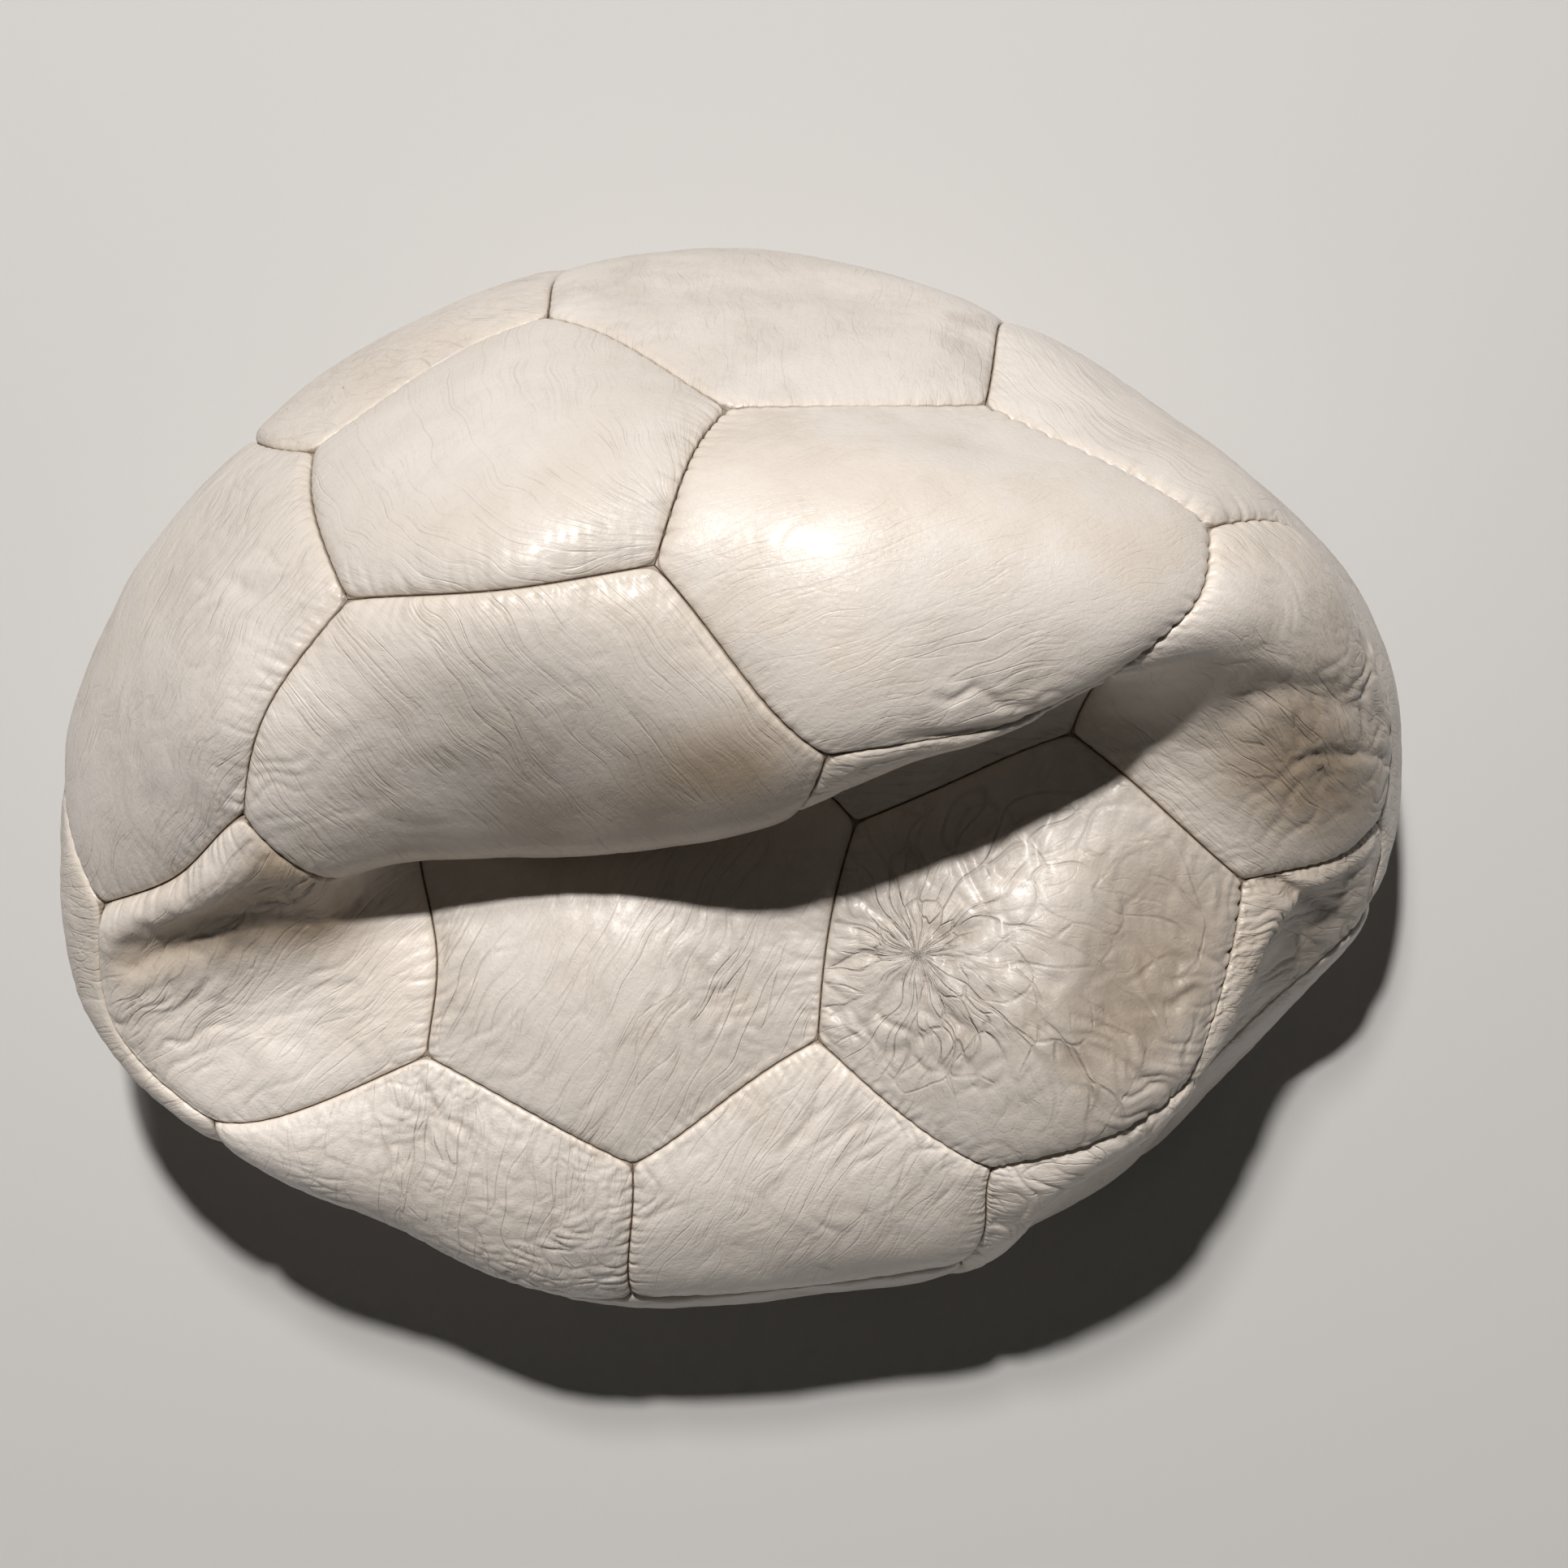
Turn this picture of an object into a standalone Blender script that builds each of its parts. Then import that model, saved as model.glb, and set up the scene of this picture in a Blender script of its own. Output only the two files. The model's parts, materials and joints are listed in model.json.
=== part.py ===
# A crushed football: 32 hand-stitched leather panels, waxed thread, bladder and valve.
#
# The ball is laid out round first, as panels on a sphere. One smooth warp then carries every point of
# the sphere to where it lies in the crushed ball. The warp is set by the places of the seam corners,
# of some seam middles and of the panel centres. X runs along the fold, Y to the back, Z up.

import math

import bmesh
import bpy
import mathutils
import numpy as np

BALL_RADIUS = 0.110      # the ball when blown up, to the face of its leather
LEATHER = 0.0026         # a panel and the cloth lining glued behind it
SEAM_GAP = 0.0010        # open width of a seam, where its thread shows
EDGE_DROP = 0.0011       # how far a panel's edge is drawn down into its seam
THREAD_WIDTH = 0.00035   # waxed thread lying in the seam
THREAD_DEPTH = 0.0018    # from the crown of the panels down to the top of the thread
BLADDER_WALL = 0.0012
BLADDER_SLACK = 0.0080   # from the face of the leather to the loose bladder, at the top
BLADDER_SEAT = 0.0042    # the same where the bladder lies on the bottom of the casing
BLADDER_AT_VALVE = 0.0070
BLADDER_RISE = 0.010     # height over which the bladder leaves the casing
BLADDER_SHARE = 0.14     # share of the bladder's faces that is kept, most of them in its folds
COLLAR_RADIUS = 0.0068   # the bladder's opening round the valve stem
GRID = 3                 # steps from the middle of a seam to its corner
MERGE = 0.000001
SHARP_ANGLE = math.radians(50)
MM = 0.001
ASKEW = (0.31, 0.52, 0.80)   # a direction that no panel, seam or corner faces

VALVE_PANEL = "K"        # at the back, out of sight from above
VALVE_MOUTH = 3.7        # radius, in millimetres
VALVE_CLEARANCE = 0.3
VALVE_SIDES = 16
CUTTER_LENGTH = 0.012
# The valve's half section: radius, and depth under the face of the leather, in millimetres.
VALVE_PROFILE = [
    (1.0, 0.5), (VALVE_MOUTH, 0.5), (VALVE_MOUTH, 3.4), (8.5, 4.8), (8.5, 5.5), (2.9, 5.8),
    (2.4, 12.0), (1.0, 12.0),
]

LEATHER_COLOUR = (0.70, 0.63, 0.54, 1)
THREAD_COLOUR = (0.10, 0.07, 0.05, 1)
RUBBER_COLOUR = (0.05, 0.045, 0.04, 1)

# Each panel has a key of one letter or digit. Pentagons stand at the 12 corners of an icosahedron: one
# at the top, two rings of five and one at the bottom. A hexagon lies between three pentagons.
TOP_RING = "EAFHP"
LOW_RING = "VJYU6"
HEXAGONS = {
    "B": "XAE", "C": "XAF", "M": "XEP", "N": "XHP", "G": "XFH",
    "D": "AEJ", "L": "AFY", "I": "FHU", "Q": "HP6", "R": "EPV",
    "K": "AJY", "W": "FYU", "T": "HU6", "O": "P6V", "S": "EVJ",
    "1": "ZJY", "2": "ZYU", "3": "ZU6", "4": "Z6V", "5": "ZVJ",
}

# Where the crushed leather lies, in millimetres. Three keys name the corner where those panels meet,
# two name the middle of the seam between them, and one names a panel's centre.
UPPER_LOBE = {
    "ABC": (-6, 34, 134), "ACL": (-55, 38, 123), "ABD": (9, 59, 113), "ADK": (-18, 81, 88),
    "AKL": (-59, 65, 94), "BDE": (50, 54, 99), "BEM": (81, 28, 112), "BCX": (15, 0, 127),
    "BMX": (60, 5, 118), "CFL": (-78, 6, 108), "KLY": (-72, 70, 58), "DJK": (-9, 93, 44),
    "DJS": (31, 87, 30), "DES": (60, 70, 56), "S": (85, 52, 20), "EMR": (103, 18, 77),
    "ERS": (92, 44, 42), "LWY": (-106, 34, 52), "BX": (41, 0, 122), "BM": (75, 14, 123),
    "CL": (-70, 23, 119), "AC": (-30, 34, 135), "DE": (56, 68, 76), "EM": (96, 27, 92),
    "A": (-27, 62, 116), "B": (39, 34, 133), "C": (-33, -4, 99), "D": (22, 82, 73), "E": (80, 48, 79),
    "L": (-92, 41, 90), "K": (-46, 86, 52), "1KY": (-46, 72, 7),
}
FOLD = {
    "CFG": (-53, -1, 76), "CF": (-66, -6, 93), "CG": (-28, -2, 77), "CGX": (-3, 4, 80),
    "X": (35, 8, 100), "CX": (8, -7, 103), "GX": (8, 2, 80), "M": (93, -3, 99), "R": (116, 8, 36),
    "MR": (112, -4, 64), "F": (-84, -19, 78), "LFW": (-109, -3, 77), "FL": (-93, -1, 93),
    "FW": (-112, -24, 67),
}
LOWER_LOBE = {
    "GNX": (18, -10, 82), "MNX": (55, -2, 87), "NX": (36, -6, 85), "MNP": (81, -31, 79),
    "MPR": (108, -25, 60), "OPR": (105, -41, 46), "OPQ": (73, -65, 37), "NPQ": (67, -63, 75),
    "HNQ": (31, -72, 74), "GHN": (6, -45, 79), "GHI": (-28, -61, 74), "FGI": (-59, -37, 75),
    "FIW": (-98, -43, 66), "HIT": (-33, -86, 51), "HQT": (24, -90, 49), "G": (-24, -19, 82),
    "N": (41, -42, 89), "H": (0, -74, 69), "MN": (66, -14, 88), "MP": (96, -31, 72),
    "FG": (-54, -19, 77), "P": (91, -36, 66), "Q": (43, -80, 55), "I": (-66, -65, 63),
    "IUW": (-91, -49, 37), "ITU": (-60, -74, 33), "W": (-111, -11, 37),
}
PLACES = {**UPPER_LOBE, **FOLD, **LOWER_LOBE}

# The unseen underside, in millimetres: a shallow bowl, which the floor presses flat.
BASE_HALF_LENGTH = 104
BASE_HALF_WIDTH = 96
BASE_SHIFT = -4          # where its middle is, along X
RIM_HEIGHT = 48          # how high it rises at the ball's widest
RIM_TO_FRONT = -14       # how much higher the rim is towards +X
RIM_TO_BACK = 18         # the same towards +Y
RIM_LEAN = 14            # how far the bowl leans towards +X as it rises
FLAT_SHARE = 0.8         # height below the round ball's middle from which the bowl is flat
PRESS = 0.4              # how far the floor presses the underside in


# The round ball: where the panels, their seams and corners are, as directions from its centre.

def direction(azimuth, height):
    turn = math.radians(azimuth)
    level = math.atan(height)
    return np.array([math.cos(turn) * math.cos(level), math.sin(turn) * math.cos(level), math.sin(level)])


def unit(vector):
    return vector / np.linalg.norm(vector, axis=-1, keepdims=True)


def panel_centres():
    centres = {"X": np.array([0.0, 0.0, 1.0]), "Z": np.array([0.0, 0.0, -1.0])}
    for step in range(5):
        centres[TOP_RING[step]] = direction(36 + 72 * step, 0.5)
        centres[LOW_RING[step]] = direction(72 * step, -0.5)
    for key, around in HEXAGONS.items():
        centres[key] = unit(sum(centres[pentagon] for pentagon in around))
    return centres


def panel_corners(centres):
    """Each corner, named by its three panels, is a third of the way from one pentagon to the next."""
    corners = {}
    pentagons = [key for key in centres if key not in HEXAGONS]
    for near in pentagons:
        for far in pentagons:
            beside = [key for key, around in HEXAGONS.items() if near in around and far in around]
            if near != far and len(beside) == 2:
                name = "".join(sorted([near, *beside]))
                corners[name] = unit(2 * centres[near] + centres[far])
    return corners


CENTRES = panel_centres()
CORNERS = panel_corners(CENTRES)


def corners_of(panel):
    """The names of a panel's corners, counter-clockwise as seen from outside."""
    centre = CENTRES[panel]
    side = unit(np.cross(ASKEW, centre))
    up = np.cross(centre, side)
    names = [name for name in CORNERS if panel in name]
    return sorted(names, key=lambda name: math.atan2(CORNERS[name] @ up, CORNERS[name] @ side))


def ball_point(key):
    """The direction of a panel's centre, of the middle of a seam, or of a corner."""
    if len(key) == 1:
        return CENTRES[key]
    ends = [point for name, point in CORNERS.items() if set(key) <= set(name)]
    return unit(sum(ends))


# The crushed ball.

def underside(point):
    """Where a point of the unseen underside lies, in millimetres."""
    x, y, z = point
    rim = RIM_HEIGHT + RIM_TO_FRONT * x + RIM_TO_BACK * y
    rise = max(1 + z / FLAT_SHARE, 0)
    along = BASE_SHIFT + BASE_HALF_LENGTH * x + RIM_LEAN * rise
    return (along, BASE_HALF_WIDTH * y, rim * rise ** 3 - PRESS)


def spread(points, others):
    return np.linalg.norm(points[:, None] - others[None], axis=2) ** 3


def warp_through(places):
    """A smooth map of the sphere that takes each named point exactly to its place."""
    keys = [*places, *(name for name in [*CORNERS, *CENTRES] if not named(name, places))]
    points = np.array([ball_point(key) for key in keys])
    targets = np.array([places[key] if key in places else underside(ball_point(key)) for key in keys])
    count = len(keys)
    linear = np.column_stack([np.ones(count), points])
    system = np.block([[spread(points, points), linear], [linear.T, np.zeros((4, 4))]])
    weights = np.linalg.solve(system, np.vstack([targets, np.zeros((4, 3))]))

    def warp(directions):
        flat = np.column_stack([np.ones(len(directions)), directions])
        moved = spread(directions, points) @ weights[:count] + flat @ weights[count:]
        moved[:, 2] = np.maximum(moved[:, 2], 0)
        return moved * MM

    return warp


def named(name, places):
    return any(set(name) == set(key) for key in places)


# Building the pieces.

WARP = warp_through(PLACES)
NORMAL_STEP = 0.004      # how far apart, on the sphere, the points that give the surface's slope lie


def outward_normals(directions):
    """The crushed surface's normals, from how the warp carries two short steps on the sphere."""
    side = unit(np.cross(directions, ASKEW))
    up = np.cross(directions, side)
    steps = [WARP(unit(directions + NORMAL_STEP * step)) for step in (side, -side, up, -up)]
    return unit(np.cross(steps[0] - steps[1], steps[2] - steps[3]))


def blend(start, end, share):
    return unit(start * (1 - share) + end * share)


def panel_grid(panel):
    """A panel's points on the sphere and its four-sided faces, with a mark on each border point."""
    centre = CENTRES[panel]
    names = corners_of(panel)
    points, border, faces, known = [], [], [], {}

    def add(point, on_border):
        key = tuple(np.round(point, 6))
        if key not in known:
            known[key] = len(points)
            points.append(point)
            border.append(on_border)
        return known[key]

    for index, name in enumerate(names):
        corner = CORNERS[name]
        before = unit(CORNERS[names[index - 1]] + corner)
        after = unit(CORNERS[names[(index + 1) % len(names)]] + corner)
        grid = {}
        for row in range(GRID + 1):
            for column in range(GRID + 1):
                down, across = row / GRID, column / GRID
                if row == GRID:
                    point = blend(before, corner, across)
                elif column == GRID:
                    point = blend(after, corner, down)
                else:
                    point = unit(
                        (1 - down) * (1 - across) * centre + down * (1 - across) * before
                        + down * across * corner + (1 - down) * across * after
                    )
                grid[row, column] = add(point, GRID in (row, column))
        for row in range(GRID):
            for column in range(GRID):
                faces.append((
                    grid[row, column], grid[row + 1, column],
                    grid[row + 1, column + 1], grid[row, column + 1],
                ))
    return np.array(points), np.array(border), faces


def border_edges(faces):
    """The edges that only one face uses, with the faces on their left."""
    edges = {(face[step - 1], face[step]) for face in faces for step in range(len(face))}
    return sorted(edge for edge in edges if edge[::-1] not in edges)


def inward_steps(crown, normals, faces):
    """For each border point, the step along the surface that takes it one unit in from the border."""
    following = dict(border_edges(faces))
    leading = {end: start for start, end in following.items()}
    steps = np.zeros_like(crown)
    for index, after in following.items():
        normal = normals[index]
        first = unit(np.cross(normal, crown[index] - crown[leading[index]]))
        second = unit(np.cross(normal, crown[after] - crown[index]))
        steps[index] = (first + second) / (1 + first @ second)
    return steps


def new_object(name, vertices, faces, material):
    """A smooth-shaded object whose closed faces all point out."""
    mesh = bpy.data.meshes.new(name)
    mesh.from_pydata([tuple(vertex) for vertex in vertices], [], faces)
    shape = bmesh.new()
    shape.from_mesh(mesh)
    bmesh.ops.recalc_face_normals(shape, faces=shape.faces)
    shape.to_mesh(mesh)
    shape.free()
    mesh.shade_smooth()
    mesh.set_sharp_from_angle(angle=SHARP_ANGLE)
    mesh.materials.append(material)
    piece = bpy.data.objects.new(name, mesh)
    bpy.context.scene.collection.objects.link(piece)
    return piece


def material(name, colour, roughness):
    made = bpy.data.materials.new(name)
    made.use_nodes = True
    shader = made.node_tree.nodes["Principled BSDF"]
    shader.inputs["Base Color"].default_value = colour
    shader.inputs["Roughness"].default_value = roughness
    return made


def panel(key, leather):
    """One leather panel: a crowned face, a lined back, and a wall along each seam."""
    points, border, faces = panel_grid(key)
    crown, normals = WARP(points), outward_normals(points)
    seated = crown + inward_steps(crown, normals, faces) * SEAM_GAP / 2
    face_side = seated - normals * EDGE_DROP * border[:, None]
    back_side = seated - normals * LEATHER
    count = len(points)
    solid = list(faces)
    solid += [(end, start, start + count, end + count) for start, end in border_edges(faces)]
    solid += [tuple(index + count for index in reversed(face)) for face in faces]
    kind = "hexagon" if key in HEXAGONS else "pentagon"
    return new_object(f"{kind}_{key.lower()}", np.vstack([face_side, back_side]), solid, leather)


def thread(waxed):
    """One run of stitching: a three-sided strand along every seam, joined where three seams meet."""
    vertices, faces, bottoms, tops, seams = [], [], {}, {}, {}
    for key in CENTRES:
        points, _, grid = panel_grid(key)
        crown, normals = WARP(points), outward_normals(points)
        steps = inward_steps(crown, normals, grid)
        names = [tuple(np.round(point, 6)) for point in points]
        for start, end in border_edges(grid):
            name = names[start]
            if name not in bottoms:
                bottoms[name] = len(vertices)
                vertices.append(crown[start] - normals[start] * (THREAD_DEPTH + THREAD_WIDTH))
                tops[name] = {}
            tops[name][key] = len(vertices)
            vertices.append(crown[start] - normals[start] * THREAD_DEPTH + steps[start] * THREAD_WIDTH / 2)
            seams.setdefault(frozenset((name, names[end])), []).append(key)
    for ends, (left, right) in seams.items():
        start, end = sorted(ends)
        faces.append((tops[start][left], tops[end][left], tops[end][right], tops[start][right]))
        for side in (left, right):
            faces.append((tops[start][side], tops[end][side], bottoms[end], bottoms[start]))
    faces += [tuple(around.values()) for around in tops.values() if len(around) == 3]
    return new_object("stitching_thread", vertices, faces, waxed)


def bladder(rubber):
    """A thin loose bag that follows the casing from inside, open only at its valve."""
    centre = CENTRES[VALVE_PANEL]
    opening = math.cos(COLLAR_RADIUS / BALL_RADIUS)
    directions, faces, known = [], [], {}
    for key in CENTRES:
        points, _, grid = panel_grid(key)
        for point in points:
            name = tuple(np.round(point, 6))
            if name not in known:
                known[name] = len(directions)
                directions.append(point)
        number = [known[tuple(np.round(point, 6))] for point in points]
        faces += [tuple(number[index] for index in face) for face in grid]
    directions = np.array(directions)
    middle = int(np.argmax(directions @ centre))
    round_valve = [face for face in faces if middle in face]
    faces = [face for face in faces if middle not in face]
    # The faces round the valve give way to a collar: a small ring of points, joined to their border.
    collar, collar_directions = {}, []
    for start, end in border_edges(round_valve):
        collar[start] = len(directions) + len(collar)
        outwards = unit(directions[start] - centre * (directions[start] @ centre))
        collar_directions.append(unit(centre + outwards * COLLAR_RADIUS / BALL_RADIUS))
    faces += [(start, end, collar[end], collar[start]) for start, end in border_edges(round_valve)]
    directions = np.vstack([directions, collar_directions])
    crown = WARP(directions)
    loose = np.clip(crown[:, 2:] / BLADDER_RISE, 0, 1)
    depth = BLADDER_SEAT + (BLADDER_SLACK - BLADDER_SEAT) * loose
    depth[list(collar.values())] = BLADDER_AT_VALVE
    vertices = crown - outward_normals(directions) * depth
    bag = new_object("bladder", vertices, faces, rubber)
    fewer = bag.modifiers.new("fewer faces", "DECIMATE")
    fewer.ratio = BLADDER_SHARE
    wall = bag.modifiers.new("wall", "SOLIDIFY")
    wall.thickness = BLADDER_WALL
    wall.offset = -1
    wall.use_even_offset = False
    return bag


def valve(rubber):
    """A turned rubber stem: its mouth in the panel's hole, its collar against the bladder."""
    place = WARP(CENTRES[VALVE_PANEL][None])[0]
    normal = outward_normals(CENTRES[VALVE_PANEL][None])[0]
    shape = bmesh.new()
    previous = None
    for radius, depth in [*VALVE_PROFILE, VALVE_PROFILE[0]]:
        point = shape.verts.new((radius * MM, 0, -depth * MM))
        if previous:
            shape.edges.new((previous, point))
        previous = point
    bmesh.ops.spin(
        shape, geom=[*shape.verts, *shape.edges], cent=(0, 0, 0), axis=(0, 0, 1),
        angle=2 * math.pi, steps=VALVE_SIDES, use_merge=True,
    )
    bmesh.ops.remove_doubles(shape, verts=shape.verts, dist=MERGE)
    bmesh.ops.recalc_face_normals(shape, faces=shape.faces)
    turn = mathutils.Vector((0, 0, 1)).rotation_difference(mathutils.Vector(normal))
    shape.transform(mathutils.Matrix.Translation(place) @ turn.to_matrix().to_4x4())
    mesh = bpy.data.meshes.new("valve")
    shape.to_mesh(mesh)
    shape.free()
    mesh.shade_smooth()
    mesh.set_sharp_from_angle(angle=SHARP_ANGLE)
    mesh.materials.append(rubber)
    stem = bpy.data.objects.new("valve", mesh)
    bpy.context.scene.collection.objects.link(stem)
    return stem


def valve_hole(panel_object):
    """Cuts the round hole for the valve's mouth through its panel."""
    place = WARP(CENTRES[VALVE_PANEL][None])[0]
    normal = outward_normals(CENTRES[VALVE_PANEL][None])[0]
    shape = bmesh.new()
    radius = (VALVE_MOUTH + VALVE_CLEARANCE) * MM
    bmesh.ops.create_cone(
        shape, cap_ends=True, segments=VALVE_SIDES, radius1=radius, radius2=radius, depth=CUTTER_LENGTH,
    )
    turn = mathutils.Vector((0, 0, 1)).rotation_difference(mathutils.Vector(normal))
    shape.transform(mathutils.Matrix.Translation(place) @ turn.to_matrix().to_4x4())
    mesh = bpy.data.meshes.new("valve_hole_cutter")
    shape.to_mesh(mesh)
    shape.free()
    cutter = bpy.data.objects.new("valve_hole_cutter", mesh)
    bpy.context.scene.collection.objects.link(cutter)
    cutter.hide_render = True
    cutter.display_type = "WIRE"
    cut = panel_object.modifiers.new("valve hole", "BOOLEAN")
    cut.operation = "DIFFERENCE"
    cut.object = cutter
    return cutter


def centre_on_floor(pieces):
    """Moves every piece so that the crushed ball's box is centred on the origin, resting at height 0."""
    corners = np.array([vertex.co[:] for piece in pieces for vertex in piece.data.vertices])
    low, high = corners.min(axis=0), corners.max(axis=0)
    shift = mathutils.Matrix.Translation((-(low[0] + high[0]) / 2, -(low[1] + high[1]) / 2, -low[2]))
    for piece in pieces:
        piece.data.transform(shift)


def main():
    for piece in list(bpy.data.objects):
        bpy.data.objects.remove(piece, do_unlink=True)
    leather = material("aged white leather", LEATHER_COLOUR, 0.45)
    waxed = material("waxed thread", THREAD_COLOUR, 0.7)
    rubber = material("black rubber", RUBBER_COLOUR, 0.6)
    pieces = [panel(key, leather) for key in CENTRES]
    valve_panel = next(piece for piece in pieces if piece.name.endswith(f"_{VALVE_PANEL.lower()}"))
    pieces += [valve_hole(valve_panel), thread(waxed), bladder(rubber), valve(rubber)]
    centre_on_floor(pieces)


main()
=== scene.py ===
import json
import math

import bmesh
import bpy
import numpy as np
from mathutils import Matrix, Vector, noise

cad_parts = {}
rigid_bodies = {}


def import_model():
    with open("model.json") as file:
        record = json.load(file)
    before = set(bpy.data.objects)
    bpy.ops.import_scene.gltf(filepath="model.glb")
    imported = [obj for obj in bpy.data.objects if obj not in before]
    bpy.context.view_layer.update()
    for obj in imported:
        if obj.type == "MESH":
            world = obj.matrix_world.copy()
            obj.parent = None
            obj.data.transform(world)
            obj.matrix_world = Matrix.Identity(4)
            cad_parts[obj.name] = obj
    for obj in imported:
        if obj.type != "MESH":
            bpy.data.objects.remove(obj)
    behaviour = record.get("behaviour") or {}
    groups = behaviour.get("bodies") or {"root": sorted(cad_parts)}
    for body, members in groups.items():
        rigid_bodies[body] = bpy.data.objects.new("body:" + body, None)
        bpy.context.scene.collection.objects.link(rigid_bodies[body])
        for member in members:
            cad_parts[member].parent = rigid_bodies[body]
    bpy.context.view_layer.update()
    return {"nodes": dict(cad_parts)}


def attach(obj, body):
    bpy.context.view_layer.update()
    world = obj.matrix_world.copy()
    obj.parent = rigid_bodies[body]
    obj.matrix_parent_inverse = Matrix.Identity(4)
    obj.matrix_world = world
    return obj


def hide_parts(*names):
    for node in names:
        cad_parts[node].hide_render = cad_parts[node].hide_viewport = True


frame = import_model()
for spare in ("Cube", "Light", "Camera"):
    if spare in bpy.data.objects:
        bpy.data.objects.remove(bpy.data.objects[spare], do_unlink=True)

mm = 0.001

ball = {
    "radius": 110.0,         # of the ball when blown up, in millimetres
    "thickness": 2.6,        # of a panel with its lining
    "fineGrid": (60, 5),     # steps from a seam's middle to its corner, and how many make one on the back
    "plainGrid": (26, 2),    # the same for the panels that don't show from above
    "draftGrid": (24, 2),
    "crowding": 1.2,         # how much closer the grid lies towards the seams
    "slopeStep": 0.004,      # spacing of the points that give the crushed surface's slope
    "backClearance": 0.4,    # least depth of a panel's back under its face
    "askew": (0.31, 0.52, 0.80),     # a direction that no panel faces, to turn each panel's own axes from
}

# The round ball. Pentagons stand at the corners of an icosahedron, and each hexagon between three of them.
topRing = "EAFHP"
lowRing = "VJYU6"
hexagons = {
    "B": "XAE", "C": "XAF", "M": "XEP", "N": "XHP", "G": "XFH", "D": "AEJ", "L": "AFY", "I": "FHU",
    "Q": "HP6", "R": "EPV", "K": "AJY", "W": "FYU", "T": "HU6", "O": "P6V", "S": "EVJ",
    "1": "ZJY", "2": "ZYU", "3": "ZU6", "4": "Z6V", "5": "ZVJ",
}
finePanels = "ABCDEFGHILMNPQX"

# Where the crushed leather lies, in millimetres. Three keys name a corner, two a seam's middle and one a
# panel's centre.
upperLobe = {
    "ABC": (-6, 34, 134), "ACL": (-55, 38, 123), "ABD": (9, 59, 113), "ADK": (-18, 81, 88),
    "AKL": (-59, 65, 94), "BDE": (50, 54, 99), "BEM": (81, 28, 112), "BCX": (15, 0, 127),
    "BMX": (60, 5, 118), "CFL": (-78, 6, 108), "KLY": (-72, 70, 58), "DJK": (-9, 93, 44),
    "DJS": (31, 87, 30), "DES": (60, 70, 56), "S": (85, 52, 20), "EMR": (103, 18, 77),
    "ERS": (92, 44, 42), "LWY": (-106, 34, 52), "BX": (41, 0, 122), "BM": (75, 14, 123),
    "CL": (-70, 23, 119), "AC": (-30, 34, 135), "DE": (56, 68, 76), "EM": (96, 27, 92),
    "A": (-27, 62, 116), "B": (39, 34, 133), "C": (-33, -4, 99), "D": (22, 82, 73), "E": (80, 48, 79),
    "L": (-92, 41, 90), "K": (-46, 86, 52), "1KY": (-46, 72, 7),
}
deepFold = {
    "CFG": (-53, -1, 76), "CF": (-66, -6, 93), "CG": (-28, -2, 77), "CGX": (-3, 4, 80),
    "X": (35, 8, 100), "CX": (8, -7, 103), "GX": (8, 2, 80), "M": (93, -3, 99), "R": (116, 8, 36),
    "MR": (112, -4, 64), "F": (-84, -19, 78), "LFW": (-109, -3, 77), "FL": (-93, -1, 93),
    "FW": (-112, -24, 67),
}
lowerLobe = {
    "GNX": (18, -10, 82), "MNX": (55, -2, 87), "NX": (36, -6, 85), "MNP": (81, -31, 79),
    "MPR": (108, -25, 60), "OPR": (105, -41, 46), "OPQ": (73, -65, 37), "NPQ": (67, -63, 75),
    "HNQ": (31, -72, 74), "GHN": (6, -45, 79), "GHI": (-28, -61, 74), "FGI": (-59, -37, 75),
    "FIW": (-98, -43, 66), "HIT": (-33, -86, 51), "HQT": (24, -90, 49), "G": (-24, -19, 82),
    "N": (41, -42, 89), "H": (0, -74, 69), "MN": (66, -14, 88), "MP": (96, -31, 72),
    "FG": (-54, -19, 77), "P": (91, -36, 66), "Q": (43, -80, 55), "I": (-66, -65, 63),
    "IUW": (-91, -49, 37), "ITU": (-60, -74, 33), "W": (-111, -11, 37),
}
places = {**upperLobe, **deepFold, **lowerLobe}

# The underside, in millimetres: a shallow bowl that the floor presses flat.
base = {
    "halfLength": 104, "halfWidth": 96, "shift": -4, "rim": 48, "rimToFront": -14, "rimToBack": 18,
    "lean": 14, "flatShare": 0.8, "press": 0.4,
}


def unit(vector):
    return vector / np.linalg.norm(vector, axis=-1, keepdims=True)


def direction(azimuth, height):
    turn, level = math.radians(azimuth), math.atan(height)
    return np.array([math.cos(turn) * math.cos(level), math.sin(turn) * math.cos(level), math.sin(level)])


def panelCentres():
    found = {"X": np.array([0.0, 0.0, 1.0]), "Z": np.array([0.0, 0.0, -1.0])}
    for step in range(5):
        found[topRing[step]] = direction(36 + 72 * step, 0.5)
        found[lowRing[step]] = direction(72 * step, -0.5)
    for key, around in hexagons.items():
        found[key] = unit(sum(found[pentagon] for pentagon in around))
    return found


def panelCorners():
    # A corner is a third of the way from one pentagon to the next, and is named by its three panels.
    found = {}
    pentagons = [key for key in centres if key not in hexagons]
    for near in pentagons:
        for far in pentagons:
            beside = [key for key, around in hexagons.items() if near in around and far in around]
            if near != far and len(beside) == 2:
                found["".join(sorted([near, *beside]))] = unit(2 * centres[near] + centres[far])
    return found


centres = panelCentres()
corners = panelCorners()


def cornersOf(key):
    side = unit(np.cross(ball["askew"], centres[key]))
    up = np.cross(centres[key], side)
    names = [name for name in corners if key in name]
    return sorted(names, key=lambda name: math.atan2(corners[name] @ up, corners[name] @ side))


def ballPoint(key):
    if len(key) == 1:
        return centres[key]
    return unit(sum(point for name, point in corners.items() if set(key) <= set(name)))


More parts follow.
